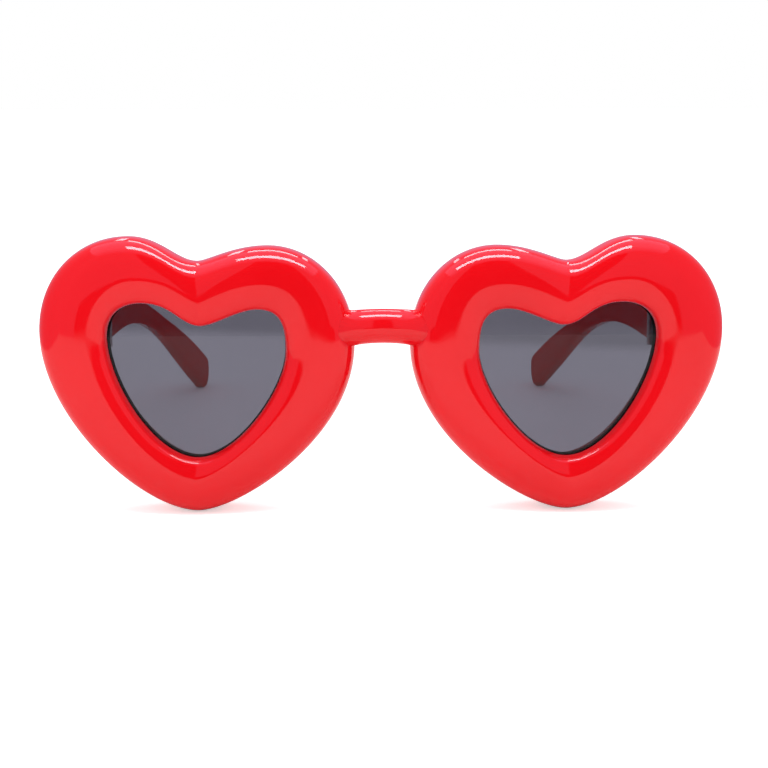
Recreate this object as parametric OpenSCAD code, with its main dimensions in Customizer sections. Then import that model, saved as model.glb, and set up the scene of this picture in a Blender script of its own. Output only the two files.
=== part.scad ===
// Heart shaped sunglasses with puffy hollow rims, standing on the heart tips and the temple tips.
// Up is +Z, the front faces -Y, and the wearer's left is +X.

/* [Heart rims] */
// Width of one heart rim
rim_w = 68.6; // [60:0.2:76]
// Height of one heart rim
rim_h = 60.6; // [56:0.2:68]
// Gap between the two rims at the nose
nose_gap = 12; // [10:0.2:20]
// Depth of the roll in front of the widest line
rim_front = 7.5; // [6:0.5:9]
// Depth of the rim behind the widest line
rim_back = 7; // [6.5:0.5:9]
// Moulded wall of the hollow rim
skin = 2; // [1.6:0.1:2.2]
// How far the roll falls from its crest to the lip
lip_drop = 2; // [1.8:0.1:2.4]
// How far the lip's rounded edge falls beyond that
lip_round = 1.6; // [1:0.1:1.8]
// How far the flat back is set in from the outline
back_roll = 4.5; // [3.5:0.5:5]
// Depth of the seam between front shell and rear cover, behind the widest line
seam_y = 2; // [1.5:0.1:2.5]

/* [Apertures and lenses] */
// Width of the opening that the lens shows through
aperture_w = 38.6; // [34:0.2:41]
// Height of the rim's band above the opening
band_above = 14.1; // [12:0.1:16]
// Height of the rim's band below the opening
band_below = 12.3; // [10.5:0.1:13]
// How far the opening lies outwards of the middle of the rim
aperture_shift = 0.1; // [0:0.1:1]
// Thickness of a lens
lens_t = 2; // [1.6:0.1:2.2]
// How far the lens lies behind the lip
lens_set = 0.3; // [0.2:0.1:0.8]
// How far the lens reaches under the lip
lens_cover = 1.2; // [0.8:0.1:1.4]
// How far the opening widens from the lens to the back
flare = 1.5; // [0.8:0.1:1.8]

/* [Bridge] */
// Height of the bridge bar
bridge_h = 7.5; // [6:0.1:9]
// Depth of the bridge bar
bridge_d = 6.8; // [6:0.1:8]
// Height of the bar's middle line above the table
bridge_z = 40.2; // [38:0.1:42]
// How far the bar's ends lie in front of the widest line
bridge_set = 3.4; // [2:0.1:4]
// How far the bar's middle bows forwards
bridge_bow = 0.6; // [0:0.1:2]
// How far the bar's middle arches upwards
bridge_arch = 1.2; // [0:0.1:1.5]
// How far the bar's top and bottom swell towards its ends
bridge_swell = 0.8; // [0:0.1:1]
// Radius of the tenon on each end of the bar
tenon_r = 2; // [1.5:0.1:2.4]
// Length of the tenon behind the shoulder
tenon_l = 4.5; // [3.5:0.5:6]

/* [Temples] */
// Distance from the hinge joint to the middle of the ear tip
temple_l = 125.4; // [105:0.2:135]
// How far the temple's middle lies in from the outer side of the rim
temple_inset = 8.3; // [7.5:0.1:9]
// Height of the temple at the hinge
temple_h = 10.6; // [10:0.1:13]
// Thickness of the temple at the hinge
temple_t = 7; // [6:0.5:8]
// Height of the temple at its waist
waist_h = 5.2; // [4.8:0.1:8]
// Thickness of the temple at its waist
waist_t = 4.6; // [4:0.1:6]
// Height of the ear tip
tip_h = 10.4; // [9:0.1:13]
// Thickness of the ear tip
tip_t = 5; // [4:0.5:6]
// How far each ear tip bends inwards
toe_in = 14.5; // [8:0.5:18]
// Fall of the ear tip, in degrees below level
tip_slope = 34; // [20:1:38]

/* [Hinges] */
// Height of the hinge's middle above the table
hinge_z = 37.9; // [35:0.1:39]
// Length of the lug behind the rim's flat back
lug_l = 7; // [6.8:0.1:10]
// Height of the hinge
hinge_h = 7.5; // [6:0.5:8]
// Radius of the hinge knuckles
knuckle_r = 1.5; // [1.4:0.1:1.8]
// Radius of the hinge screw
hinge_screw_r = 0.7; // [0.5:0.05:0.8]
// Thickness of the hinge leaves
leaf_t = 0.9; // [0.7:0.1:1]
// Length of a hinge leaf from the hinge's axis
leaf_l = 6; // [5:0.5:6.5]
// Radius of the screws that hold a leaf
leaf_screw_r = 0.5; // [0.4:0.05:0.6]

/* [Nose pads] */
// Width of a nose pad
pad_w = 5; // [4:0.5:6]
// How far a nose pad stands out behind the rim
pad_d = 4.2; // [3:0.2:5]

/* [Hidden] */
$fn = 32;

// Gap at glued and trapped joints
fit_gap = 0.05;
// Gap where one hinged piece moves past another
running_gap = 0.15;
// Radial clearance of the hinge screw in its knuckles
screw_gap = 0.05;
// Overrun of every cut past the face that it opens
overrun = 1;

// Knots of the heart outline from the bottom tip round by the outer side. Each row holds the knot's place,
// the pull of the curve before it and the pull after it, as shares of the heart's width and height.
outer_knot_shares = [
    [[0.005, 0], [-0.134, 0], [0.181, 0]],
    [[0.5, 0.657], [0, -0.315], [0, 0.196]],
    [[0.216, 1], [0.165, 0], [-0.1, 0]],
    [[0, 0.911], [0.064, 0], [-0.034, 0]],
    [[-0.223, 0.966], [0.109, 0], [-0.153, 0]],
    [[-0.5, 0.613], [0, 0.199], [0, -0.345]]];
// Knots of the aperture's outline, in the same order
lip_knot_shares = [
    [[0.002, 0], [-0.215, 0], [0.24, 0]],
    [[0.5, 0.784], [0, -0.301], [0, 0.15]],
    [[0.305, 1], [0.106, 0], [-0.179, 0]],
    [[-0.027, 0.854], [0.115, 0], [-0.076, 0]],
    [[-0.342, 0.957], [0.104, 0], [-0.139, 0]],
    [[-0.5, 0.689], [0, 0.154], [0, -0.25]]];
// Place of the roll's crest between the outline and the lip, at each knot
crest_shares = [0.51, 0.7, 0.57, 0.575, 0.505, 0.605];
// How far the crest's knots lie outwards of that, as shares of the heart's width
crest_shift_shares = [0.012, 0, 0, 0, 0, 0];
// Angle that the crest line folds up at each knot, for the creases at the bottom tip and the cleft
crest_folds = [17, 0, 0, 25, 0, 0];
// Length of the crest line's pulls before and after each knot, of the mean of the outline's and the lip's
crest_pull_shares = [[0.6, 0.85], [1.24, 0.84], [0.97, 1.13], [0.9, 0.86], [1.09, 1.06], [1.16, 1]];
// Power of the roll's section outside its crest, where 2 is an ellipse and more is boxier
outer_roll_power = 3.1;
// The same between the crest and the lip
inner_roll_power = 2;
// Power of the rounded edge at the lip, where more is tighter
lip_round_power = 20;
// Stations on each stretch between two knots
stretch_steps = [12, 10, 8, 8, 10, 12];

// Places of the front shell's sections, in degrees round the roll from the outline to the crest
outer_roll_angles = [0, 22.5, 45, 67.5];
// The same from the crest to the lip
inner_roll_angles = [0, 30, 60, 73, 90];
// The same on the hollow's roof
hollow_angles = [0, 45];
// Places round the back roll of the rear cover
back_roll_angles = [40, 65, 90];

rim_x = (nose_gap + rim_w) / 2;
aperture_h = rim_h - band_above - band_below;
lip_y = lip_drop - rim_front;
wall_end_y = lip_y + lip_round + lens_set;
ledge_y = wall_end_y + fit_gap + lens_t + fit_gap;
floor_y = rim_back - skin;
locating_lip_l = skin / 2;
locating_lip_t = skin / 2;
upstand_t = skin;
edge_round = skin / 2;

// Ear tip's middle stands half its height above the table, so that the tip rests on it
butt_y = rim_back + lug_l;
tip_y = butt_y + temple_l;
rear_end_y = tip_y + tip_h / 2;
// Middle of the whole object, which goes to the origin
middle_y = (rear_end_y - rim_front) / 2;

// Hinge axis: just inside the inner faces of lug and temple
temple_x = nose_gap / 2 + rim_w - temple_inset;
leaf_inset = 0.2;
knuckle_set = knuckle_r - leaf_t;
hinge_x = temple_x - temple_t / 2 + leaf_inset - knuckle_set;
relief_r = knuckle_r + running_gap;
butt_gap = 0.1;
knuckles = 3;
knuckle_h = hinge_h / knuckles;
screw_head_share = 1.7;
screw_head_r = hinge_screw_r * screw_head_share;
screw_head_depth_share = 0.25;
screw_head_l = knuckle_h * screw_head_depth_share;
leaf_screw_head_share = 1.8;
leaf_screw_head_r = leaf_screw_r * leaf_screw_head_share;
leaf_screw_head_depth_share = 0.4;
leaf_screw_head_l = leaf_t * leaf_screw_head_depth_share;
leaf_screw_length_share = 0.4;
leaf_screw_l = temple_t * leaf_screw_length_share;
leaf_screw_spread_share = 0.28;
leaf_screw_spread = hinge_h * leaf_screw_spread_share;
leaf_screw_y = (leaf_l + relief_r) / 2;
// Driver slots, as shares of the head's radius and depth
slot_width_share = 0.3;
slot_depth_share = 0.5;

function mix(a, b, t) = a + (b - a) * t;
function unit(v) = v / norm(v);
function reversed(v) = [for (i = [len(v) - 1 : -1 : 0]) v[i]];
function bezier(p, t) = let (r = 1 - t)
    r ^ 3 * p[0] + 3 * r ^ 2 * t * p[1] + 3 * r * t ^ 2 * p[2] + t ^ 3 * p[3];
function folded(v, a) = a == 0 ? v : norm(v) * [sign(v[0]) * cos(a), sin(a)];

// A knot in millimetres: place, pull before and pull after
function knot(shares, w, h, origin) = [
    origin + [shares[0][0] * w, shares[0][1] * h],
    [shares[1][0] * w, shares[1][1] * h],
    [shares[2][0] * w, shares[2][1] * h]];
function outer_knots() = [for (k = outer_knot_shares) knot(k, rim_w, rim_h, [rim_x, 0])];
function lip_knots() = [for (k = lip_knot_shares)
    knot(k, aperture_w, aperture_h, [rim_x + aperture_shift, band_below])];
function crest_knots() = let (o = outer_knots(), l = lip_knots()) [for (i = [0 : len(o) - 1])
    let (s = crest_shares[i], a = crest_folds[i], p = crest_pull_shares[i])
    [mix(o[i][0], l[i][0], s) + [crest_shift_shares[i] * rim_w, 0],
        p[0] * folded(mix(o[i][1], l[i][1], s), a), p[1] * folded(mix(o[i][2], l[i][2], s), a)]];
function stretch(a, b, t) = bezier([a[0], a[0] + a[2], b[0] + b[1], b[0]], t);
function closed_curve(knots) = [for (i = [0 : len(knots) - 1], k = [0 : stretch_steps[i] - 1])
    stretch(knots[i], knots[(i + 1) % len(knots)], k / stretch_steps[i])];

outer_curve = closed_curve(outer_knots());
crest_curve = closed_curve(crest_knots());
lip_curve = closed_curve(lip_knots());
stations = len(outer_curve);

// A point of a rim section, in from the outline or from the lip by a distance
function at(p, y) = [p[0], y, p[1]];
function in_outline(i, d, y) = at(outer_curve[i] + d * unit(crest_curve[i] - outer_curve[i]), y);
function in_lip(i, d, y) = at(lip_curve[i] + d * unit(crest_curve[i] - lip_curve[i]), y);

// A point of the roll: on its edge at angle 0 and on its crest at 90
function roll(crest, edge, a, y_edge, y_crest, power) =
    at(crest + (edge - crest) * cos(a) ^ (2 / power), y_edge + (y_crest - y_edge) * sin(a) ^ (2 / power));

// A point of the roll between the lip and the crest: an ellipse with a rounded edge at the lip
function inner_roll(i, a) = roll(crest_curve[i], lip_curve[i], a, lip_y, -rim_front, inner_roll_power)
    + [0, lip_round * cos(a) ^ lip_round_power, 0];

function back_inset(a) = back_roll * (1 - cos(a));
function back_inset_at(y) = back_inset(asin(y / rim_back));

// One section of the front shell, from the seam over the roll to the lens, and back inside
function shell_section(i) = let (
        o = outer_curve[i], c = crest_curve[i],
        oi = o + skin * unit(c - o))
    reversed(concat(
        [in_outline(i, back_inset_at(seam_y), seam_y)],
        [for (a = outer_roll_angles) roll(c, o, a, 0, -rim_front, outer_roll_power)],
        [for (a = inner_roll_angles) inner_roll(i, 90 - a)],
        [in_lip(i, 0, wall_end_y), in_lip(i, lens_cover + upstand_t, wall_end_y), at(c, skin - rim_front)],
        [for (k = [len(hollow_angles) - 1 : -1 : 0])
            roll(c, oi, hollow_angles[k], 0, skin - rim_front, outer_roll_power)],
        [in_outline(i, skin, seam_y)]));

// One section of the rear cover, from the seam round the back to the lens ledge, and back inside
function cover_section(i) = concat(
    [in_outline(i, back_inset_at(seam_y), seam_y + fit_gap)],
    [for (a = back_roll_angles) in_outline(i, back_inset(a), rim_back * sin(a))],
    [in_lip(i, flare + edge_round, rim_back), in_lip(i, flare, rim_back - edge_round), in_lip(i, 0, ledge_y)],
    [in_lip(i, lens_cover + fit_gap, ledge_y), in_lip(i, lens_cover + fit_gap, wall_end_y + fit_gap)],
    [in_lip(i, lens_cover + upstand_t, wall_end_y + fit_gap), in_lip(i, flare + skin, floor_y)],
    [in_outline(i, skin + fit_gap + locating_lip_t, floor_y)],
    [in_outline(i, skin + fit_gap + locating_lip_t, seam_y - locating_lip_l)],
    [in_outline(i, skin + fit_gap, seam_y - locating_lip_l)],
    [in_outline(i, skin + fit_gap, seam_y + fit_gap)]);

// Skins a closed ring of sections with triangles
module ring_of(sections) {
    n = len(sections);
    m = len(sections[0]);
    points = [for (s = sections) each s];
    faces = [for (i = [0 : n - 1], k = [0 : m - 1])
        let (a = i * m, b = (i + 1) % n * m, q = (k + 1) % m)
        each [[a + k, b + k, b + q], [a + k, b + q, a + q]]];
    polyhedron(points, faces);
}

// Skins a row of sections with triangles and closes both ends
module row_of(sections) {
    n = len(sections);
    m = len(sections[0]);
    points = [for (s = sections) each s];
    sides = [for (i = [0 : n - 2], k = [0 : m - 1])
        let (a = i * m, b = (i + 1) * m, q = (k + 1) % m)
        each [[a + k, b + k, b + q], [a + k, b + q, a + q]]];
    ends = [[for (k = [0 : m - 1]) k], [for (k = [m - 1 : -1 : 0]) (n - 1) * m + k]];
    polyhedron(points, concat(sides, ends));
}

// Rounded box section: half width, half height and the power of its corners
section_power = 3;
section_sides = 20;
function signed_power(v, p) = sign(v) * abs(v) ^ p;
function box_point(w, h, a) =
    [w * signed_power(cos(a), 2 / section_power), -h * signed_power(sin(a), 2 / section_power)];

// Puts a piece in the object's frame, on one side
module placed(side) {
    translate([0, -middle_y, 0]) mirror([side < 0 ? 1 : 0, 0, 0]) children();
}

// The hinge's own frame, on its axis
module at_hinge() {
    translate([hinge_x, butt_y, hinge_z]) children();
}

// Lug for the hinge, moulded on the rear cover
lug_ring_shares = [[0, 1.12], [0.28, 1.12], [0.5, 1.02], [1, 1]];
module lug() {
    start_y = floor_y + skin / 2;
    length = butt_y - butt_gap / 2 - start_y;
    row_of([for (r = lug_ring_shares) [for (k = [0 : section_sides - 1])
        let (p = r[1] * box_point(temple_t / 2, temple_h / 2, k * 360 / section_sides))
        [temple_x + p[0], start_y + r[0] * length, hinge_z + p[1]]]]);
}

// Room that a hinge needs in the lug or in the temple: side is -1 for the lug and 1 for the temple
module hinge_pocket(side) {
    pocket_h = hinge_h + 2 * fit_gap;
    pocket_t = leaf_t + fit_gap;
    at_hinge() {
        cylinder(r = relief_r, h = pocket_h, center = true);
        translate([knuckle_set - overrun, min(side * (leaf_l + fit_gap), 0), -pocket_h / 2])
            cube([overrun + pocket_t, leaf_l + fit_gap, pocket_h]);
        for (z = [-1, 1]) translate([knuckle_set, side * leaf_screw_y, z * leaf_screw_spread])
            rotate([0, 90, 0]) cylinder(r = leaf_screw_r + fit_gap, h = leaf_screw_l + 2 * fit_gap);
    }
}

// A hinge leaf: side is -1 for the front leaf and 1 for the temple leaf, levels are its knuckles
module hinge_leaf(side, levels) {
    plate_l = leaf_l - relief_r;
    at_hinge() difference() {
        union() {
            translate([knuckle_set, side < 0 ? -leaf_l : relief_r, -hinge_h / 2])
                cube([leaf_t, plate_l, hinge_h]);
            for (k = levels) translate([0, 0, k * knuckle_h]) {
                cylinder(r = knuckle_r, h = knuckle_h - 2 * fit_gap, center = true);
                translate([knuckle_set, side < 0 ? -relief_r - leaf_t : 0, fit_gap - knuckle_h / 2])
                    cube([leaf_t, relief_r + leaf_t, knuckle_h - 2 * fit_gap]);
            }
        }
        cylinder(r = hinge_screw_r + screw_gap, h = hinge_h + 2 * overrun, center = true);
        translate([0, 0, hinge_h / 2 - screw_head_l - fit_gap])
            cylinder(r = screw_head_r + screw_gap, h = screw_head_l + fit_gap + overrun);
        for (z = [-1, 1]) translate([knuckle_set, side * leaf_screw_y, z * leaf_screw_spread])
            rotate([0, 90, 0]) {
                translate([0, 0, -overrun]) cylinder(r = leaf_screw_r + fit_gap, h = leaf_t + 2 * overrun);
                translate([0, 0, -overrun])
                    cylinder(r = leaf_screw_head_r + fit_gap, h = leaf_screw_head_l + fit_gap + overrun);
            }
    }
}

// Slot across a screw's head that lies on the origin with its top face, cut upwards to a depth
module driver_slot(head_r, depth) {
    width = head_r * slot_width_share;
    translate([-width / 2, -head_r - overrun, -overrun])
        cube([width, 2 * (head_r + overrun), depth + overrun]);
}

module leaf_screws(side) {
    at_hinge() for (z = [-1, 1]) translate([knuckle_set, side * leaf_screw_y, z * leaf_screw_spread])
        rotate([0, 90, 0]) difference() {
            union() {
                cylinder(r = leaf_screw_r, h = leaf_screw_l);
                cylinder(r = leaf_screw_head_r, h = leaf_screw_head_l);
            }
            driver_slot(leaf_screw_head_r, leaf_screw_head_l * slot_depth_share);
        }
}

module hinge_screw() {
    at_hinge() difference() {
        union() {
            translate([0, 0, -hinge_h / 2 + fit_gap]) cylinder(r = hinge_screw_r, h = hinge_h - 2 * fit_gap);
            translate([0, 0, hinge_h / 2 - screw_head_l])
                cylinder(r = screw_head_r, h = screw_head_l - fit_gap);
        }
        translate([0, 0, hinge_h / 2 - fit_gap]) mirror([0, 0, 1])
            driver_slot(screw_head_r, screw_head_l * slot_depth_share);
    }
}

// The bar's tenon and its hole in the shell
module tenon(r, l) {
    translate([0, -bridge_set, bridge_z]) rotate([0, 90, 0]) cylinder(r = r, h = l);
}

tenon_end = nose_gap / 2 + tenon_l;

module rim_front_shell(side) {
    color([0.93, 0.08, 0.1]) placed(side) difference() {
        ring_of([for (i = [0 : stations - 1]) shell_section(i)]);
        tenon(tenon_r + fit_gap, tenon_end + overrun);
    }
}

module rim_rear_cover(side) {
    color([0.85, 0.06, 0.08]) placed(side) difference() {
        union() {
            ring_of([for (i = [0 : stations - 1]) cover_section(i)]);
            lug();
        }
        hinge_pocket(-1);
    }
}

module lens(side) {
    outline = [for (i = [0 : stations - 1])
        lip_curve[i] + lens_cover * unit(crest_curve[i] - lip_curve[i])];
    color([0.35, 0.35, 0.4, 0.6]) placed(side)
        translate([0, ledge_y - fit_gap, 0]) rotate([90, 0, 0]) linear_extrude(lens_t) polygon(outline);
}

// The filled nose side of the rim, which the bar's end is shaped to
nose_stations = [stations - stretch_steps[4] - stretch_steps[5] : stations - 1];
module nose_side() {
    row_of([for (i = nose_stations) let (o = outer_curve[i], c = crest_curve[i], l = lip_curve[i])
        concat(
            [at(l, seam_y)],
            [for (k = [len(inner_roll_angles) - 1 : -1 : 0]) inner_roll(i, 90 - inner_roll_angles[k])],
            [for (k = [len(outer_roll_angles) - 1 : -1 : 0])
                roll(c, o, outer_roll_angles[k], 0, -rim_front, outer_roll_power)],
            [in_outline(i, back_inset_at(seam_y), seam_y)])]);
}

// The bar runs into the rims' rounded sides, with a small gap for the cement
bridge_sides = 24;
bridge_steps = 12;
bar_end = tenon_end + bridge_d / 2;
module bridge() {
    color([0.93, 0.08, 0.1]) placed(1) {
        difference() {
            row_of([for (i = [-bridge_steps : bridge_steps])
                let (x = bar_end * i / bridge_steps, s = min(abs(x) / tenon_end, 1),
                    swell = bridge_swell * s ^ 3)
                [for (k = [0 : bridge_sides - 1]) let (a = k * 360 / bridge_sides)
                    [x, bridge_d / 2 * cos(a) - bridge_set - bridge_bow * (1 - s ^ 2),
                        (bridge_h / 2 + swell) * sin(a) + bridge_z + bridge_arch * (1 - s ^ 2)]]]);
            for (x = [0, 1]) mirror([x, 0, 0]) translate([-fit_gap, 0, 0]) nose_side();
        }
        for (x = [0, 1]) mirror([x, 0, 0]) tenon(tenon_r, tenon_end);
    }
}

// Nose pad: a low ridge along the nose side of the rear cover
pad_steps = 10;
pad_sides = 8;
pad_from_share = 0.12;
pad_to_share = 0.5;
pad_end_angle = 8;
pad_lean_share = 0.5;
module nose_pad(side) {
    o = outer_knots();
    c = crest_knots();
    color([0.9, 0.1, 0.12]) placed(side) row_of([for (i = [0 : pad_steps]) let (
            t = mix(pad_from_share, pad_to_share, i / pad_steps),
            p = stretch(o[5], o[0], t),
            d = unit(stretch(c[5], c[0], t) - p),
            swell = sqrt(sin(mix(pad_end_angle, 180 - pad_end_angle, i / pad_steps))),
            middle = p + d * (back_roll + pad_w / 2 * pad_lean_share))
        [for (k = [pad_sides : -1 : 0]) let (a = k * 180 / pad_sides)
            at(middle + d * swell * pad_w / 2 * (cos(a) - pad_lean_share * sin(a)),
                rim_back + fit_gap + pad_d * swell * sin(a))]]);
}

// Temple: its side view is a drooping curve, its plan bends inwards towards the ear tip
temple_steps = 20;
waist_share = 0.61;
cap_angles = [20, 40, 60, 80];
droop_start_share = 0.5;
droop_end_share = 0.34;
toe_in_early_share = 0.14;
slope_share = 0.001;
droop_end_l = temple_l * droop_end_share;
temple_line = [
    [butt_y + butt_gap / 2, hinge_z],
    [butt_y + temple_l * droop_start_share, hinge_z],
    [tip_y - droop_end_l * cos(tip_slope), tip_h / 2 + droop_end_l * sin(tip_slope)],
    [tip_y, tip_h / 2]];
function temple_middle(t) = let (p = bezier(temple_line, t), s = (p[0] - butt_y) / temple_l)
    [temple_x - toe_in * (toe_in_early_share * s + (1 - toe_in_early_share) * s ^ 3), p[0], p[1]];
function temple_fall(t) =
    let (a = bezier(temple_line, t - slope_share), b = bezier(temple_line, t + slope_share))
    t <= 0 ? 0 : atan2(a[1] - b[1], b[0] - a[0]);
function ease(t) = (1 - cos(180 * min(max(t, 0), 1))) / 2;
function swelling(front, waist, tip, t) = t < waist_share
    ? mix(front, waist, ease(t / waist_share))
    : mix(waist, tip, ease((t - waist_share) / (1 - waist_share)));
function temple_ring(middle, fall, w, h) = [for (k = [0 : section_sides - 1])
    let (p = box_point(w, h, k * 360 / section_sides))
    middle + [p[0], p[1] * sin(fall), p[1] * cos(fall)]];
module temple(side) {
    end = temple_middle(1);
    fall = temple_fall(1);
    color([0.93, 0.08, 0.1]) placed(side) difference() {
        row_of(concat(
            [for (i = [0 : temple_steps]) let (t = i / temple_steps)
                temple_ring(temple_middle(t), temple_fall(t), swelling(temple_t, waist_t, tip_t, t) / 2,
                    swelling(temple_h, waist_h, tip_h, t) / 2)],
            [for (a = cap_angles)
                temple_ring(end + tip_h / 2 * sin(a) * [0, cos(fall), -sin(fall)], fall,
                    tip_t / 2 * cos(a), tip_h / 2 * cos(a))]));
        hinge_pocket(1);
    }
}

rim_front_shell(1);  // rim_front_shell_left
rim_front_shell(-1);  // rim_front_shell_right
rim_rear_cover(1);  // rim_rear_cover_left
rim_rear_cover(-1);  // rim_rear_cover_right
lens(1);  // lens_left
lens(-1);  // lens_right
bridge();
nose_pad(1);  // nose_pad_left
nose_pad(-1);  // nose_pad_right
temple(1);  // temple_left
temple(-1);  // temple_right
color([0.75, 0.74, 0.72]) placed(1) hinge_leaf(-1, [-1, 1]);  // hinge_front_leaf_left
color([0.75, 0.74, 0.72]) placed(-1) hinge_leaf(-1, [-1, 1]);  // hinge_front_leaf_right
color([0.75, 0.74, 0.72]) placed(1) hinge_leaf(1, [0]);  // hinge_temple_leaf_left
color([0.75, 0.74, 0.72]) placed(-1) hinge_leaf(1, [0]);  // hinge_temple_leaf_right
color([0.8, 0.8, 0.8]) placed(1) hinge_screw();  // hinge_screw_left
color([0.8, 0.8, 0.8]) placed(-1) hinge_screw();  // hinge_screw_right
color([0.8, 0.8, 0.8]) placed(1) leaf_screws(-1);  // front_leaf_screws_left
color([0.8, 0.8, 0.8]) placed(-1) leaf_screws(-1);  // front_leaf_screws_right
color([0.8, 0.8, 0.8]) placed(1) leaf_screws(1);  // temple_leaf_screws_left
color([0.8, 0.8, 0.8]) placed(-1) leaf_screws(1);  // temple_leaf_screws_right
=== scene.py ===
"""Heart shaped sunglasses: smooth pieces, materials, table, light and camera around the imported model.

Sizes repeat the named values of the part's source, in millimetres. The table, the tent round it, the lamps
and the camera are placed in the row's frame, in metres.
"""
import math
import bmesh
import bpy
import numpy as np
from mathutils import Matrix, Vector


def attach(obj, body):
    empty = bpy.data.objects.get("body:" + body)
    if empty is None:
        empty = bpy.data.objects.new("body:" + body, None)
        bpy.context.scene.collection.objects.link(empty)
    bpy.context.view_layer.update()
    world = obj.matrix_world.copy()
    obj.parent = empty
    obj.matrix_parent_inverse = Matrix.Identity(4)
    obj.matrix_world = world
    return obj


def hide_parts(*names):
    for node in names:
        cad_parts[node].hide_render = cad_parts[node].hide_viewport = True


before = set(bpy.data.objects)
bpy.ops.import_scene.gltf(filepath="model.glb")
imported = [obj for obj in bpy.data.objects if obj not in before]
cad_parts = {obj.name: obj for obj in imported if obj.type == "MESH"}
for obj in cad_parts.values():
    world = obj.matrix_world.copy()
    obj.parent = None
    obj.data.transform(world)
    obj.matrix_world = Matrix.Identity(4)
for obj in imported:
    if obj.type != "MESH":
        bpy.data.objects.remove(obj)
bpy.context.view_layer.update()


MM = 0.001

# Rims
rim_w = 68.6
rim_h = 60.6
nose_gap = 12.0
rim_front = 7.5
rim_back = 7.0
skin = 2.0
lip_drop = 2.0
lip_round = 1.6
back_roll = 4.5
seam_y = 2.0

# Apertures and lenses
aperture_w = 38.6
band_above = 14.1
band_below = 12.3
aperture_shift = 0.1
lens_t = 2.0
lens_set = 0.3
lens_cover = 1.2
flare = 1.5

# Bridge
bridge_h = 7.5
bridge_d = 6.8
bridge_z = 40.2
bridge_set = 3.4
bridge_bow = 0.6
bridge_arch = 1.2
bridge_swell = 0.8
tenon_l = 4.5

# Temples
temple_l = 125.4
temple_inset = 8.3
temple_h = 10.6
temple_t = 7.0
waist_h = 5.2
waist_t = 4.6
tip_h = 10.4
tip_t = 5.0
toe_in = 14.5
tip_slope = 34.0
waist_share = 0.61
droop_start_share = 0.5
droop_end_share = 0.34
toe_in_early_share = 0.14
slope_share = 0.001

# Hinges
hinge_z = 37.9
hinge_h = 7.5
lug_l = 7.0
knuckle_r = 1.5
leaf_t = 0.9
leaf_l = 6.0
leaf_inset = 0.2
lug_ring_shares = [[0, 1.12], [0.28, 1.12], [0.5, 1.02], [1, 1]]

# Nose pads
pad_w = 5.0
pad_d = 4.2
pad_from_share = 0.12
pad_to_share = 0.5
pad_end_angle = 8
pad_lean_share = 0.5

# Clearances
fit_gap = 0.05
running_gap = 0.15
butt_gap = 0.1
overrun = 1.0

# Derived places
aperture_h = rim_h - band_above - band_below
lip_y = lip_drop - rim_front
wall_end_y = lip_y + lip_round + lens_set
ledge_y = wall_end_y + fit_gap + lens_t + fit_gap
floor_y = rim_back - skin
butt_y = rim_back + lug_l
tip_y = butt_y + temple_l
middle_y = (tip_y + tip_h / 2 - rim_front) / 2
rim_x = (nose_gap + rim_w) / 2
temple_x = nose_gap / 2 + rim_w - temple_inset
knuckle_set = knuckle_r - leaf_t
hinge_x = temple_x - temple_t / 2 + leaf_inset - knuckle_set
relief_r = knuckle_r + running_gap
tenon_end = nose_gap / 2 + tenon_l

# The heart's knots: each has a place and two handles, as shares of a width and a height
outer_knot_shares = [
    [[0.005, 0], [-0.134, 0], [0.181, 0]],
    [[0.5, 0.657], [0, -0.315], [0, 0.196]],
    [[0.216, 1], [0.165, 0], [-0.1, 0]],
    [[0, 0.911], [0.064, 0], [-0.034, 0]],
    [[-0.223, 0.966], [0.109, 0], [-0.153, 0]],
    [[-0.5, 0.613], [0, 0.199], [0, -0.345]]]
lip_knot_shares = [
    [[0.002, 0], [-0.215, 0], [0.24, 0]],
    [[0.5, 0.784], [0, -0.301], [0, 0.15]],
    [[0.305, 1], [0.106, 0], [-0.179, 0]],
    [[-0.027, 0.854], [0.115, 0], [-0.076, 0]],
    [[-0.342, 0.957], [0.104, 0], [-0.139, 0]],
    [[-0.5, 0.689], [0, 0.154], [0, -0.25]]]
crest_shares = [0.51, 0.7, 0.57, 0.575, 0.505, 0.605]
crest_shift_shares = [0.012, 0, 0, 0, 0, 0]
crest_folds = [17, 0, 0, 25, 0, 0]
crest_pull_shares = [[0.6, 0.85], [1.24, 0.84], [0.97, 1.13], [0.9, 0.86], [1.09, 1.06], [1.16, 1]]
outer_roll_power = 3.1
inner_roll_power = 2
lip_round_power = 20
section_power = 3

# Fine forms that only this scene has, in millimetres
seam_round = 0.12
lip_bevel = 0.12
ledge_bevel = 0.1
ledge_rise = 0.6
mouth_round = 1.0
lens_bevel = 0.15
lug_edge = 0.25
root_edge = 0.3
cap_gap = 0.02
# How far the bar's shading leans outwards with each millimetre from its middle
bar_barrel = 0.06
# The width of the lens's black band inside the lip, on its back, at each knot: painted shade where the wall
# behind the lens lies in shade, wider at the outer side and the bottom
painted_shade_bands = [0.3, 0.42, 0.1, 0.05, 0.05, 0.15]

# Steps of the meshes: a curve's points between knots, and the angles in degrees of a roll's rows
stretch_steps = [12, 10, 8, 8, 10, 12]
FINER = 7
shell_back_angles = [5, 10]
outer_angles = np.linspace(0, 90, 41)
inner_angles = np.r_[90:34:-2, 34:-1:-1]
hollow_angles = [45, 0]
cover_back_angles = np.arange(20, 91, 5)
mouth_angles = np.arange(0, 91, 15)
nose_side_angles = np.linspace(0, 90, 9)
cap_angles = np.r_[6:85:6, 88]
# Sides of round sections, and where a row of them has one, as shares of its length
tube_sides = 64
section_sides = 72
bar_sides = 96
pad_sides = 24
lug_end_share = 0.965
lug_stations = np.r_[np.linspace(0, 0.95, 20), 0.97, 0.985, 0.995, 1]
root_edge_share = 0.0024
temple_stations = np.r_[0, 0.0004, 0.0012, root_edge_share, 0.004, np.linspace(0.01, 1, 150)]
bar_stations = np.linspace(-1, 1, 121)
pad_stations = np.linspace(0, 1, 37)


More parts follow.
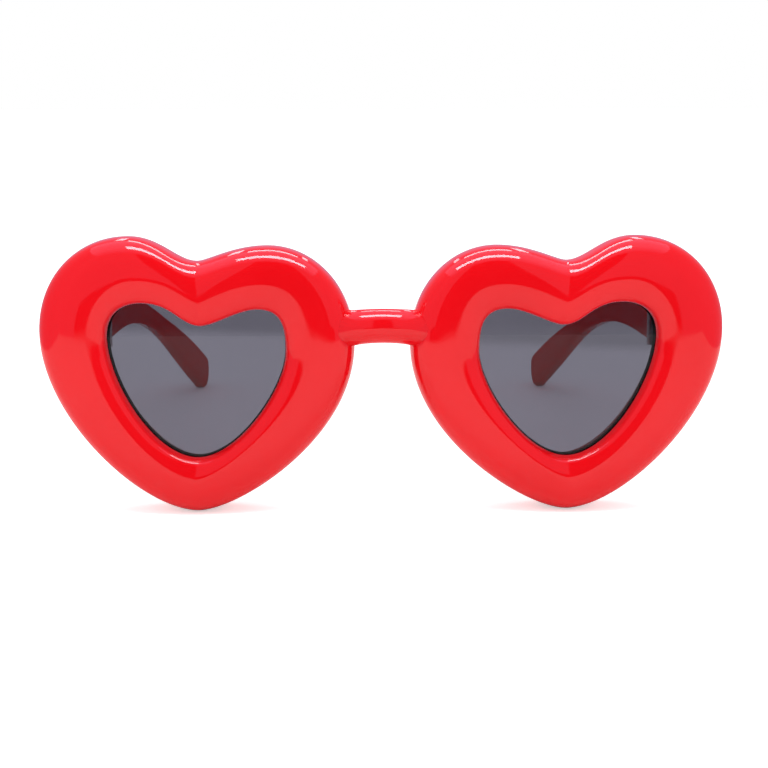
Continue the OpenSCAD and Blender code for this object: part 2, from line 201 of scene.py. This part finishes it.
# The heart's three guide curves
def mix(a, b, t):
    return a + (b - a) * t


def unit(v):
    return v / np.linalg.norm(v, axis=-1, keepdims=True)


def bezier(p, t):
    t = np.asarray(t, float)[..., None]
    u = 1 - t
    return u ** 3 * p[0] + 3 * u ** 2 * t * p[1] + 3 * u * t ** 2 * p[2] + t ** 3 * p[3]


def knots_mm(shares, w, h, origin):
    size = np.array([w, h])
    return [(np.array(origin) + np.array(place) * size, np.array(before) * size, np.array(after) * size)
            for place, before, after in shares]


def folded(handle, angle):
    """Turns a level handle up by an angle, towards the side where it points."""
    if angle == 0:
        return handle
    a = math.radians(angle)
    return math.hypot(*handle) * np.array([math.copysign(math.cos(a), handle[0]), math.sin(a)])


def crest_between(outer_knots, lip_knots):
    """The knots of the rim's crest, between its outline's and its lip's."""
    knots = []
    for outer, lip, share, shift, fold, pull in zip(outer_knots, lip_knots, crest_shares, crest_shift_shares,
                                                    crest_folds, crest_pull_shares):
        place = mix(outer[0], lip[0], share) + np.array([shift * rim_w, 0])
        before, after = (pull[i] * folded(mix(outer[i + 1], lip[i + 1], share), fold) for i in (0, 1))
        knots.append((place, before, after))
    return knots


def stretch(a, b, t):
    """Points between two knots."""
    return bezier([a[0], a[0] + a[2], b[0] + b[1], b[0]], t)


def closed_curve(knots):
    rows = []
    for i, steps in enumerate(stretch_steps):
        t = np.arange(steps * FINER) / (steps * FINER)
        rows.append(stretch(knots[i], knots[(i + 1) % len(knots)], t))
    return np.concatenate(rows)


outer_knots = knots_mm(outer_knot_shares, rim_w, rim_h, [rim_x, 0])
lip_knots = knots_mm(lip_knot_shares, aperture_w, aperture_h, [rim_x + aperture_shift, band_below])
crest_knots = crest_between(outer_knots, lip_knots)
OUTER, CREST, LIP = closed_curve(outer_knots), closed_curve(crest_knots), closed_curve(lip_knots)
OUT_TO_CREST = unit(CREST - OUTER)
LIP_TO_CREST = unit(CREST - LIP)


# Rows of points round a rim: each is a curve in the front view, and its depth
def in_outline(d, y):
    return OUTER + d * OUT_TO_CREST, y


def in_lip(d, y):
    return LIP + d * LIP_TO_CREST, y


def roll(crest, edge, angle, y_edge, y_crest, power):
    """A row on a superelliptic roll, which starts at its edge at 0 degrees and has its crest at 90."""
    a = math.radians(angle)
    across = abs(math.cos(a)) ** (2 / power)
    forward = math.sin(a) ** (2 / power)
    return crest + (edge - crest) * across, y_edge + (y_crest - y_edge) * forward


def outer_roll(angle, edge=OUTER, inset=0):
    return roll(CREST, edge, angle, 0, inset - rim_front, outer_roll_power)


def inner_roll(angle):
    p, y = roll(CREST, LIP, angle, lip_y, -rim_front, inner_roll_power)
    return p, y + lip_round * math.cos(math.radians(angle)) ** lip_round_power


def back_inset_at(y):
    return back_roll * (1 - math.sqrt(1 - (y / rim_back) ** 2))


def back_point(angle):
    a = math.radians(angle)
    return in_outline(back_roll * (1 - math.cos(a)), rim_back * math.sin(a))


# Meshes
def new_piece(name, points, faces):
    mesh = bpy.data.meshes.new(name)
    mesh.from_pydata([tuple(p) for p in points], [], faces)
    mesh.validate()
    piece = bpy.data.objects.new(name, mesh)
    bpy.context.scene.collection.objects.link(piece)
    return piece


def agree_normals(piece):
    """Turns a closed mesh's faces all inwards or all outwards."""
    bm = bmesh.new()
    bm.from_mesh(piece.data)
    bmesh.ops.recalc_face_normals(bm, faces=bm.faces)
    bm.to_mesh(piece.data)
    bm.free()


def outward(piece):
    """Turns a closed mesh's faces outwards, where its volume says that they are inwards."""
    mesh = piece.data
    co = np.zeros(len(mesh.vertices) * 3)
    mesh.vertices.foreach_get("co", co)
    mesh.calc_loop_triangles()
    corners = np.zeros(len(mesh.loop_triangles) * 3, int)
    mesh.loop_triangles.foreach_get("vertices", corners)
    a, b, c = co.reshape(-1, 3)[corners.reshape(-1, 3).T]
    if np.einsum("ij,ij->i", a, np.cross(b, c)).sum() < 0:
        mesh.flip_normals()
    return piece


def smooth(piece, crease=28):
    """Shades a piece smoothly, but for edges sharper than an angle in degrees."""
    mesh = piece.data
    mesh.polygons.foreach_set("use_smooth", [True] * len(mesh.polygons))
    mesh.set_sharp_from_angle(angle=math.radians(crease))
    return piece


def at_depth(p, y):
    """Points of the front view, placed at a depth."""
    return np.c_[p[:, 0], np.full(len(p), y), p[:, 1]]


def to_row(points, side):
    p = np.array(points, float)
    p[..., 1] -= middle_y
    p[..., 0] *= side
    return p * MM


def ring_piece(name, rows, side):
    """A closed ring, from rows of points round a rim."""
    grid = np.array([at_depth(p, y) for p, y in rows])
    m, n = grid.shape[:2]
    faces = [(k * n + i, k * n + (i + 1) % n, (k + 1) % m * n + (i + 1) % n, (k + 1) % m * n + i)
             for k in range(m) for i in range(n)]
    return outward(new_piece(name, to_row(grid.reshape(-1, 3), side), faces))


def row_piece(name, rings, side):
    """A row of closed sections, with both ends shut."""
    rings = np.array(rings)
    n, m = rings.shape[:2]
    faces = [(i * m + k, i * m + (k + 1) % m, (i + 1) * m + (k + 1) % m, (i + 1) * m + k)
             for i in range(n - 1) for k in range(m)]
    faces += [tuple(range(m)), tuple(range((n - 1) * m, n * m))]
    piece = new_piece(name, to_row(rings.reshape(-1, 3), side), faces)
    agree_normals(piece)
    return outward(piece)


def combine(piece, other, operation):
    """Joins another closed piece to this one or cuts it away, and deletes the other."""
    modifier = piece.modifiers.new("fit", "BOOLEAN")
    modifier.operation = operation
    modifier.solver = "EXACT"
    modifier.object = other
    graph = bpy.context.evaluated_depsgraph_get()
    mesh = bpy.data.meshes.new_from_object(piece.evaluated_get(graph))
    piece.modifiers.clear()
    old = piece.data
    piece.data = mesh
    mesh.name = piece.name
    bpy.data.meshes.remove(old)
    bpy.data.objects.remove(other)


def circle(sides):
    return np.arange(sides) * 2 * math.pi / sides


def tube(name, radius, height, centre, side):
    """A closed upright cylinder round a point."""
    a = circle(tube_sides)
    x, y, z = centre
    rings = [np.c_[x + radius * np.cos(a), y + radius * np.sin(a), np.full(tube_sides, z + d)]
             for d in (-height / 2, height / 2)]
    return row_piece(name, rings, side)


def block(name, low, high, side):
    """A closed box between two corners."""
    (x0, y0, z0), (x1, y1, z1) = low, high
    rings = [[(x0, y0, z), (x1, y0, z), (x1, y1, z), (x0, y1, z)] for z in (z0, z1)]
    return row_piece(name, rings, side)


def box_ring(half_w, half_h):
    """A rounded box section round the origin, as a superellipse."""
    a = circle(section_sides)

    def boxy(v):
        return np.sign(v) * np.abs(v) ** (2 / section_power)

    return np.c_[half_w * boxy(np.cos(a)), half_h * boxy(np.sin(a))]


def edge_inset(radius, share):
    """How far a rounded edge lies in, from nothing where the share is 0 to its radius where it is 1."""
    s = min(max(share, 0), 1)
    return radius * (1 - math.sqrt(1 - s * s))


# Shells, covers, lugs, lenses and nose pads
def shell_rows():
    inside = OUTER + skin * OUT_TO_CREST
    rows = [in_outline(back_inset_at(seam_y) + seam_round, seam_y),
            in_outline(back_inset_at(seam_y - seam_round), seam_y - seam_round)]
    rows += [back_point(a) for a in reversed(shell_back_angles)]
    rows += [outer_roll(a) for a in outer_angles[:-1]]
    rows += [inner_roll(a) for a in inner_angles]
    rows += [(LIP, wall_end_y - lip_bevel), in_lip(lip_bevel, wall_end_y)]
    rows += [in_lip(lens_cover + skin, wall_end_y), (CREST, skin - rim_front)]
    rows += [outer_roll(a, inside, skin) for a in hollow_angles]
    rows += [in_outline(skin, seam_y)]
    return rows


def cover_rows():
    start_y = seam_y + fit_gap
    step_y = seam_y - skin / 2
    locating_inset = skin * 1.5 + fit_gap
    upstand = lens_cover + fit_gap
    rows = [in_outline(back_inset_at(start_y) + seam_round, start_y),
            in_outline(back_inset_at(start_y + seam_round), start_y + seam_round)]
    rows += [back_point(a) for a in cover_back_angles]
    rows += [in_lip(flare + mouth_round * (1 - math.sin(a)), rim_back - mouth_round * (1 - math.cos(a)))
             for a in np.radians(mouth_angles)]
    rows += [in_lip(ledge_bevel, ledge_y + ledge_rise), in_lip(0, ledge_y)]
    rows += [in_lip(upstand, ledge_y), in_lip(upstand, wall_end_y + fit_gap)]
    rows += [in_lip(lens_cover + skin, wall_end_y + fit_gap), in_lip(flare + skin, floor_y)]
    rows += [in_outline(locating_inset, floor_y), in_outline(locating_inset, step_y)]
    rows += [in_outline(skin + fit_gap, step_y), in_outline(skin + fit_gap, start_y)]
    return rows


def lug(side):
    """The block behind a rim that carries the hinge's front leaf."""
    start_y = floor_y + skin / 2
    length = butt_y - butt_gap / 2 - start_y
    at, wide = np.transpose(lug_ring_shares)
    rings = []
    for t in lug_stations:
        wider = np.interp(t, at, wide)
        rounding = edge_inset(lug_edge, (t - lug_end_share) / (1 - lug_end_share))
        ring = box_ring(temple_t / 2 * wider - rounding, temple_h / 2 * wider - rounding)
        rings.append(at_depth(ring + [temple_x, hinge_z], start_y + t * length))
    return row_piece("lug", rings, side)


def cut_pocket(piece, end, side):
    """Makes the hinge's room in a lug (end -1) or a temple (end 1)."""
    room_h = hinge_h + 2 * fit_gap
    knuckle_room = tube("knuckle_room", relief_r, room_h, (hinge_x, butt_y, hinge_z), side)
    combine(piece, knuckle_room, "DIFFERENCE")
    far = end * (leaf_l + fit_gap)
    leaf_x = hinge_x + knuckle_set
    low = (leaf_x - overrun, butt_y + min(far, 0), hinge_z - room_h / 2)
    high = (leaf_x + leaf_t + fit_gap, butt_y + max(far, 0), hinge_z + room_h / 2)
    combine(piece, block("leaf_room", low, high, side), "DIFFERENCE")


def painted_shade_band():
    """The width of the lens's black band of painted shade inside the lip, at each point of the lip."""
    knots_at = np.cumsum([0] + stretch_steps) * FINER
    return np.interp(np.arange(len(LIP)), knots_at, painted_shade_bands + painted_shade_bands[:1])[:, None]


def lens(side, name):
    back, front = ledge_y - fit_gap, wall_end_y + fit_gap
    rows = [in_lip(-painted_shade_band(), back), in_lip(lens_cover - lens_bevel, back),
            in_lip(lens_cover, back - lens_bevel), in_lip(lens_cover, front + lens_bevel),
            in_lip(lens_cover - lens_bevel, front)]
    return row_piece(name, [at_depth(p, y) for p, y in rows], side)


def nose_pad(side, name):
    rings = []
    for share in pad_stations:
        t = mix(pad_from_share, pad_to_share, share)
        p = stretch(outer_knots[-1], outer_knots[0], t)
        d = unit(stretch(crest_knots[-1], crest_knots[0], t) - p)
        swell = math.sqrt(math.sin(math.radians(mix(pad_end_angle, 180 - pad_end_angle, share))))
        middle = p + d * (back_roll + pad_w / 2 * pad_lean_share)
        ring = []
        for k in range(pad_sides + 1):
            a = k * math.pi / pad_sides
            x, z = middle + d * swell * pad_w / 2 * (math.cos(a) - pad_lean_share * math.sin(a))
            ring.append([x, rim_back + fit_gap + pad_d * swell * math.sin(a), z])
        rings.append(ring)
    return row_piece(name, rings, side)


# Temple arms
slope = math.radians(tip_slope)
droop_end_l = temple_l * droop_end_share
TEMPLE_LINE = np.array([
    [butt_y + butt_gap / 2, hinge_z],
    [butt_y + temple_l * droop_start_share, hinge_z],
    [tip_y - droop_end_l * math.cos(slope), tip_h / 2 + droop_end_l * math.sin(slope)],
    [tip_y, tip_h / 2]])


def temple_middle(t):
    """A point of a temple's centre line, which droops in its side view and bends inwards in its plan."""
    y, z = bezier(TEMPLE_LINE, t)
    s = (y - butt_y) / temple_l
    return np.array([temple_x - toe_in * (toe_in_early_share * s + (1 - toe_in_early_share) * s ** 3), y, z])


def temple_fall(t):
    """The angle by which the centre line falls at a point, in radians."""
    if t <= 0:
        return 0
    y0, z0 = bezier(TEMPLE_LINE, t - slope_share)
    y1, z1 = bezier(TEMPLE_LINE, t + slope_share)
    return math.atan2(z0 - z1, y1 - y0)


def ease(t):
    return (1 - math.cos(math.pi * min(max(t, 0), 1))) / 2


def swelling(root, waist, tip, t):
    """A size along a temple, which eases from its root to its waist and on to its tip."""
    if t < waist_share:
        return mix(root, waist, ease(t / waist_share))
    return mix(waist, tip, ease((t - waist_share) / (1 - waist_share)))


def temple_ring(middle, fall, half_t, half_h):
    x, up = box_ring(half_t, half_h).T
    return np.c_[middle[0] + x, middle[1] + up * math.sin(fall), middle[2] + up * math.cos(fall)]


def temple(side, name):
    rings = []
    for t in temple_stations:
        edge = edge_inset(root_edge, 1 - t / root_edge_share)
        half_t = swelling(temple_t, waist_t, tip_t, t) / 2 - edge
        half_h = swelling(temple_h, waist_h, tip_h, t) / 2 - edge
        rings.append(temple_ring(temple_middle(t), temple_fall(t), half_t, half_h))
    end, fall = temple_middle(1), temple_fall(1)
    onward = np.array([0, math.cos(fall), -math.sin(fall)])
    cap_r = tip_h / 2 - cap_gap
    for a in np.radians(cap_angles):
        middle = end + cap_r * math.sin(a) * onward
        rings.append(temple_ring(middle, fall, tip_t / 2 * math.cos(a), cap_r * math.cos(a)))
    return row_piece(name, rings, side)


# Bridge bar
def bar_at(x):
    """The depth and height of the bar's middle, and its half height, at a distance from the nose."""
    s = min(abs(x) / tenon_end, 1)
    belly = 1 - s * s
    half_h = bridge_h / 2 + bridge_swell * s ** 3
    return -bridge_set - bridge_bow * belly, bridge_z + bridge_arch * belly, half_h


def nose_side(side):
    """The filled nose side of a rim, which the bar's end is shaped to."""
    points = sum(stretch_steps[-2:]) * FINER
    rows = [(LIP, seam_y)]
    rows += [inner_roll(a) for a in nose_side_angles]
    rows += [outer_roll(a) for a in outer_angles[-2::-1]]
    rows += [back_point(a) for a in shell_back_angles]
    rows += [in_outline(back_inset_at(seam_y), seam_y)]
    grid = np.array([at_depth(p[-points:] - [fit_gap, 0], y) for p, y in rows])
    return row_piece("nose_side", grid.transpose(1, 0, 2), side)


def bridge():
    a = circle(bar_sides)
    rings = []
    for x in (tenon_end + bridge_d / 2) * bar_stations:
        y, z, half_h = bar_at(x)
        rings.append(np.c_[np.full(bar_sides, x), y + bridge_d / 2 * np.cos(a), z + half_h * np.sin(a)])
    piece = row_piece("bridge_bar", rings, 1)
    for side in (1, -1):
        combine(piece, nose_side(side), "DIFFERENCE")
    return piece


def barrel_shading(piece):
    """Shades the bar's outer skin as a slightly barrel shaped one, fuller at its middle."""
    least_agreement = 0.9
    mesh = piece.data
    normals = []
    for polygon in mesh.polygons:
        for i in polygon.vertices:
            x, y, z = mesh.vertices[i].co / MM
            bar_y, bar_z, half_h = bar_at(x)
            outwards = (0, (y + middle_y - bar_y) / (bridge_d / 2) ** 2, (z - bar_z) / half_h ** 2)
            skin_normal = Vector(outwards).normalized()
            if skin_normal.dot(polygon.normal) > least_agreement:
                normals.append((skin_normal + Vector((bar_barrel * x, 0, 0))).normalized())
            else:
                normals.append(polygon.normal.copy())
    mesh.normals_split_custom_set(normals)
    return piece


# Materials
class Tree:
    """The node tree of a material or a world, with short ways to add to it."""

    def __init__(self, owner):
        owner.use_nodes = True
        self.nodes = owner.node_tree.nodes
        self.links = owner.node_tree.links

    def feed(self, socket, value):
        """Links a node's output to a socket, or sets the socket. A colour is given by its three parts."""
        if isinstance(value, bpy.types.NodeSocket):
            self.links.new(value, socket)
        elif socket.type == "RGBA":
            socket.default_value = value + (1,)
        else:
            socket.default_value = value

    def add(self, kind, inputs):
        node = self.nodes.new(kind)
        for name, value in inputs.items():
            self.feed(node.inputs[name], value)
        return node

    def calc(self, operation, *values):
        node = self.nodes.new("ShaderNodeMath")
        node.operation = operation
        for socket, value in zip(node.inputs, values):
            self.feed(socket, value)
        return node.outputs[0]

    def ranged(self, value, low, high, from_low=0.3, from_high=0.7):
        """Takes a value from its own range, which is a noise's if none is given, to another, and clips it."""
        inputs = {"Value": value, "From Min": from_low, "From Max": from_high, "To Min": low, "To Max": high}
        return self.add("ShaderNodeMapRange", inputs).outputs["Result"]

    def ray(self, *kinds):
        """1 for the named kinds of ray, and 0 for others."""
        path = self.nodes.new("ShaderNodeLightPath")
        found = path.outputs[kinds[0]]
        for kind in kinds[1:]:
            found = self.calc("MAXIMUM", found, path.outputs[kind])
        return found


class Look(Tree):
    """A new material. Patterns lie in the piece's own space, and their scales are in cells per metre."""

    def __init__(self, name):
        self.material = bpy.data.materials.new(name)
        super().__init__(self.material)
        self.coords = self.nodes.new("ShaderNodeTexCoord").outputs["Object"]

    def set(self, inputs):
        shader = self.nodes["Principled BSDF"]
        for name, value in inputs.items():
            self.feed(shader.inputs[name], value)

    def glow(self, strength, tint):
        """Makes it give off light and reflect none."""
        self.set({"Emission Strength": strength, "Emission Color": tint})
        self.set({"Base Color": (0, 0, 0), "Specular IOR Level": 0})

    def place(self, axis):
        """Where a point is along an axis."""
        return self.add("ShaderNodeSeparateXYZ", {"Vector": self.coords}).outputs[axis]

    def noise(self, scale, detail, rough=0.5, coords=None):
        coords = coords or self.coords
        inputs = {"Vector": coords, "Scale": scale, "Detail": detail, "Roughness": rough}
        return self.add("ShaderNodeTexNoise", inputs).outputs["Fac"]

    def mixed(self, share, a, b):
        """A colour between two others."""
        node = self.nodes.new("ShaderNodeMix")
        node.data_type = "RGBA"
        self.feed(node.inputs["Factor"], share)
        colours = [socket for socket in node.inputs if socket.type == "RGBA"]
        for socket, value in zip(colours, (a, b)):
            self.feed(socket, value)
        return next(socket for socket in node.outputs if socket.type == "RGBA")

    def dust(self, scale, size, kept):
        """1 inside rare specks: a few of a cell pattern's cells have one."""
        cells = self.add("ShaderNodeTexVoronoi", {"Vector": self.coords, "Scale": scale})
        colour = self.add("ShaderNodeSeparateColor", {"Color": cells.outputs["Color"]})
        near = self.calc("LESS_THAN", cells.outputs["Distance"], size)
        few = self.calc("LESS_THAN", colour.outputs["Red"], kept)
        return self.calc("MULTIPLY", near, few)

    def relief(self, height, depth):
        inputs = {"Height": height, "Distance": depth, "Strength": 1.0}
        return self.add("ShaderNodeBump", inputs).outputs["Normal"]


def red_plastic(name, deep, bright, rough, wave=1.5e-6, shine=0.5):
    """Red through and through, with clouds of tone, a fine unevenness of sheen and rare dust."""
    look = Look(name)
    tone = look.mixed(look.ranged(look.noise(scale=45, detail=3), 0, 1), deep, bright)
    dust = look.dust(scale=110, size=0.014, kept=0.05)
    look.set({
        "Base Color": look.mixed(dust, tone, (0.9, 0.5, 0.5)),
        "Roughness": look.ranged(look.noise(scale=700, detail=4, rough=0.6), *rough),
        "Normal": look.relief(look.noise(scale=160, detail=1), wave),
        "IOR": 1.46,
        "Specular IOR Level": shine})
    return look.material


def smoke_lens(name):
    look = Look(name)
    tone = look.ranged(look.noise(scale=30, detail=2), 0, 1)
    look.set({
        "Base Color": look.mixed(tone, (0.089, 0.0855, 0.108), (0.094, 0.0905, 0.114)),
        "Transmission Weight": 1,
        "Roughness": 0,
        "IOR": 1.32})
    return look.material


# Painted shade: near black for the lens's edge strips, in place of the wall behind the lens where it lies in
# shade
def painted_edge_shade(name):
    look = Look(name)
    grain = look.noise(scale=900, detail=3)
    look.set({
        "Base Color": look.mixed(look.ranged(grain, 0, 1), (0.014, 0.004, 0.005), (0.026, 0.008, 0.010)),
        "Roughness": look.ranged(grain, 0.45, 0.6)})
    return look.material


def brushed_metal(name, colour, lines, rough):
    """Metal with fine lines: the scales along the three axes say how long and close they are."""
    look = Look(name)
    stretched = look.add("ShaderNodeMapping", {"Vector": look.coords, "Scale": lines}).outputs["Vector"]
    grain = look.noise(scale=1, detail=4, rough=0.7, coords=stretched)
    darker = tuple(c * 0.8 for c in colour)
    look.set({
        "Base Color": look.mixed(look.ranged(grain, 0, 1), darker, colour),
        "Roughness": look.ranged(grain, rough * 0.7, rough * 1.3),
        "Normal": look.relief(grain, 3e-6),
        "Metallic": 1})
    return look.material


shell_red = red_plastic("shell_red", (0.84, 0.0038, 0.0080), (0.89, 0.0050, 0.0102), (0.03, 0.06))
cover_red = red_plastic("cover_red", (0.80, 0.0022, 0.006), (0.85, 0.0035, 0.009), (0.1, 0.14))
pad_red = red_plastic("pad_red", (0.80, 0.003, 0.007), (0.86, 0.005, 0.01), (0.32, 0.36), shine=0.25)
temple_red = red_plastic("temple_red", (0.80, 0.0030, 0.007), (0.85, 0.0045, 0.010), (0.09, 0.15), wave=4e-6)
inside_red = red_plastic("temple_inside_red", (0.84, 0.0022, 0.006), (0.88, 0.0034, 0.009), (0.45, 0.55),
                         wave=4e-6, shine=0.25)
smoke = smoke_lens("smoke_lens")
# The lens's edge strips: painted shade
edge_shade_black = painted_edge_shade("lens_edge_painted_shade")
nickel = brushed_metal("nickel", (0.72, 0.71, 0.69), lines=(900, 60, 5000), rough=0.28)
steel = brushed_metal("bright_steel", (0.77, 0.77, 0.77), lines=(3000, 3000, 200), rough=0.2)


# Visible pieces
def dress(piece, mat, body, slot, *nodes):
    piece.data.materials.clear()
    piece.data.materials.append(mat)
    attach(piece, body)
    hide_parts(*nodes)


def second_material(piece, mat, has_it):
    """Gives the polygons that pass a test another material."""
    piece.data.materials.append(mat)
    for polygon in piece.data.polygons:
        polygon.material_index = int(has_it(polygon))


def faces_inwards(polygon, side):
    least_turn = 0.1
    return polygon.normal.x * side < -least_turn


for side, word in ((1, "left"), (-1, "right")):
    shell = smooth(ring_piece("shell_" + word, shell_rows(), side), crease=24)
    dress(shell, shell_red, "front", "red_shell", "rim_front_shell_" + word)
    cover = ring_piece("cover_" + word, cover_rows(), side)
    combine(cover, lug(side), "UNION")
    cut_pocket(cover, -1, side)
    dress(smooth(cover), cover_red, "front", "red_cover", "rim_rear_cover_" + word)
    glass = smooth(lens(side, "smoke_" + word), crease=20)
    dress(glass, smoke, "front", "lens", "lens_" + word)
    # The lens's two faces have many corners, and the strips of its edge have four: these strips get the black
    # of the painted shade
    second_material(glass, edge_shade_black, lambda polygon: len(polygon.vertices) == 4)
    pad = smooth(nose_pad(side, "pad_" + word), crease=50)
    dress(pad, pad_red, "front", "red_pad", "nose_pad_" + word)
    arm = temple(side, "arm_" + word)
    cut_pocket(arm, 1, side)
    dress(smooth(arm, crease=40), temple_red, word + "_temple", "red_shell", "temple_" + word)
    second_material(arm, inside_red, lambda polygon: faces_inwards(polygon, side))
bar = barrel_shading(smooth(bridge(), crease=40))
dress(bar, shell_red, "front", "red_shell", "bridge")

for name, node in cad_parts.items():
    if name.startswith("hinge_") or name.endswith(("screws_left", "screws_right")):
        node.data.materials.clear()
        node.data.materials.append(steel if "screw" in name else nickel)
        smooth(node, crease=25)


# Table
def stage_plane(name, corners):
    plane = new_piece(name, corners, [(0, 1, 2, 3)])
    return plane


def table_white(name):
    """White paper, with an even glow for the camera. Painted light: what shows through the lenses glows a
    little brighter near them than far behind them.
    """
    near_y, far_y, slant = 0.150, 0.172, 0.25
    near_glow, far_glow, seen_glow = 0.74, 0.22, 0.52
    look = Look(name)
    tone = look.ranged(look.noise(scale=25, detail=3), 0, 1)
    # Painted light: the glow seen through the lenses fades along a slanted line, from near to far
    along = look.calc("MULTIPLY_ADD", look.place("X"), slant, look.place("Y"))
    through = look.ranged(along, near_glow, far_glow, near_y, far_y)
    through = look.calc("MULTIPLY", look.ray("Is Transmission Ray"), through)
    look.set({
        "Base Color": look.mixed(tone, (0.86, 0.86, 0.862), (0.88, 0.88, 0.882)),
        "Roughness": 0.85,
        "Specular IOR Level": 0.1,
        "Emission Strength": look.calc("MULTIPLY_ADD", look.ray("Is Camera Ray"), seen_glow, through),
        "Emission Color": (1, 1, 1)})
    return look.material


reach = 3.0
table = stage_plane("table", [(-reach, -reach, 0), (reach, -reach, 0), (reach, reach, 0), (-reach, reach, 0)])
table.data.materials.append(table_white("table_white"))


# The tent round the table, which only reflections see: its walls and roof, with lamps below the roof
front_distance = 0.245
FRONT_Y = -middle_y * MM - front_distance
BACK_Y = 0.3
WALL_X = 0.21
WALL_TOP = 0.42
ROOF_Z = 0.27
back_wall_low = 0.03
side_tint = (0.95, 0.95, 1.25)
cloth_tint = (0.9, 0.9, 1.3)
lamp_tint = (1, 0.97, 1.08)


def mirrored_only(plane):
    plane.visible_camera = False
    plane.visible_diffuse = False
    plane.visible_transmission = False
    plane.visible_shadow = False
    return plane


def upright(name, start, end, low, high):
    """An upright plane between two places on the table."""
    corners = [(*start, low), (*end, low), (*end, high), (*start, high)]
    return mirrored_only(stage_plane(name, corners))


def overhead(name, x0, x1, y, depth, z):
    """A level plane over the table."""
    y0, y1 = y - depth / 2, y + depth / 2
    return mirrored_only(stage_plane(name, [(x0, y0, z), (x0, y1, z), (x1, y1, z), (x1, y0, z)]))


def lit_cloth(name, low, high, tint, scale=40):
    """Cloth with light behind it, a little uneven."""
    look = Look(name)
    look.glow(look.ranged(look.noise(scale, detail=2), low, high), tint)
    return look.material


def dark_opening(name):
    """Darkness, with the table's light on its lowest few millimetres."""
    low_glow, low_h = 0.6, 4 * MM
    look = Look(name)
    look.set({
        "Base Color": (0.012, 0.012, 0.014),
        "Roughness": 1,
        "Specular IOR Level": 0,
        "Emission Strength": look.ranged(look.place("Z"), low_glow, 0, 0, low_h),
        "Emission Color": (1, 1, 1)})
    return look.material


def roof_cloth(name):
    """The roof's cloth is brightest over the glasses, and duller to the front and to the back."""
    front_glow, full_glow, back_glow = 0.45, 1.35, 0.42
    full_from_y, full_to_y, dull_from_y = -0.14, 0.05, 0.13
    look = Look(name)
    front_part = look.ranged(look.place("Y"), front_glow, full_glow, FRONT_Y, full_from_y)
    back_part = look.ranged(look.place("Y"), full_glow, back_glow, full_to_y, dull_from_y)
    weave = look.ranged(look.noise(scale=40, detail=2), 0.92, 1)
    both = look.calc("MINIMUM", front_part, back_part)
    look.glow(look.calc("MULTIPLY", both, weave), cloth_tint)
    return look.material


side_cloth = lit_cloth("tent_cloth", 0.39, 0.45, side_tint, scale=6)
front_left, front_right = (-WALL_X, FRONT_Y), (WALL_X, FRONT_Y)
back_left, back_right = (-WALL_X, BACK_Y), (WALL_X, BACK_Y)
for name, start, end in (("tent_left", front_left, back_left), ("tent_right", front_right, back_right),
                         ("tent_front", front_left, front_right)):
    upright(name, start, end, 0, WALL_TOP).data.materials.append(side_cloth)

darkness = dark_opening("dark_opening")
for name, x0, x1, top, forward in (("opening", -0.062, 0.074, 0.267, 2 * MM),
                                   ("opening_low", -0.115, 0.115, 0.02, 3 * MM)):
    y = FRONT_Y + forward
    upright(name, (x0, y), (x1, y), 0, top).data.materials.append(darkness)

back_wall = upright("tent_back", back_left, back_right, back_wall_low, ROOF_Z)
back_wall.data.materials.append(lit_cloth("tent_back_cloth", 0.414, 0.46, cloth_tint))
roof = overhead("tent_roof", -WALL_X, WALL_X, (FRONT_Y + BACK_Y) / 2, BACK_Y - FRONT_Y, ROOF_Z)
roof.data.materials.append(roof_cloth("tent_roof_cloth"))

# Each lamp's two ends, its place and depth, its height and how bright it is
lamp_evenness = 0.9
lamps = {
    "lamp_front": (-0.068, 0.062, -0.108, 0.034, 0.165, 19),
    "lamp_back": (-0.075, 0.075, 0.0765, 0.055, 0.25, 8),
    "spot_right": (-0.12, -0.094, 0.205, 0.18, 0.25, 5),
    "spot_left": (0.094, 0.12, 0.205, 0.18, 0.25, 5)}
for name, (x0, x1, y, depth, z, bright) in lamps.items():
    face = lit_cloth(name + "_glow", lamp_evenness * bright, bright, lamp_tint)
    overhead(name, x0, x1, y, depth, z).data.materials.append(face)


# The light that falls on the pieces
STRIP_Z = 0.48
STRIP_L = 0.5
lit_place = Vector((0, -0.06, 0.03))
world_seen, world_light = 1.0, 0.94

world = bpy.data.worlds.new("tent")
bpy.context.scene.world = world
tree = Tree(world)
background = tree.nodes["Background"]
tree.feed(background.inputs["Color"], (1, 1, 1))
seen = tree.ray("Is Camera Ray", "Is Transmission Ray")
tree.feed(background.inputs["Strength"], tree.ranged(seen, world_light, world_seen, 0, 1))


def strip(name, y, width, watts):
    """A long lamp across the table, which reflections don't see."""
    light = bpy.data.lights.new(name, "AREA")
    light.shape = "RECTANGLE"
    light.size = STRIP_L
    light.size_y = width
    light.energy = watts
    lamp = bpy.data.objects.new(name, light)
    lamp.location = (0, y, STRIP_Z)
    lamp.rotation_euler = (lit_place - lamp.location).to_track_quat("-Z", "Y").to_euler()
    lamp.visible_glossy = False
    bpy.context.scene.collection.objects.link(lamp)


strip("strip_back", 0.25, 0.012, 0.65)
strip("strip_front", -0.19, 0.008, 0.6)

# The photo's camera: fitted to the outlines, with the glasses turned a little on the table
photo_w = 768
focal_px = 1660.8
middle_px = 382.2
sensor_w = 36
camera_distance = 0.36
camera_z = 0.09775
turn = math.radians(1.49)
pitch = math.radians(11.0)

camera_data = bpy.data.cameras.new("camera")
camera = bpy.data.objects.new("camera", camera_data)
bpy.context.scene.collection.objects.link(camera)
camera_x = -camera_distance * math.sin(turn)
camera_y = -camera_distance * math.cos(turn) - middle_y * MM
camera.location = (camera_x, camera_y, camera_z)
camera.rotation_euler = (math.radians(90) - pitch, 0, -turn)
camera_data.sensor_width = sensor_w
camera_data.lens = focal_px / photo_w * sensor_w
camera_data.shift_x = (photo_w / 2 - middle_px) / photo_w
camera_data.clip_start = 0.01
bpy.context.scene.camera = camera

bpy.context.scene.view_settings.view_transform = "Standard"
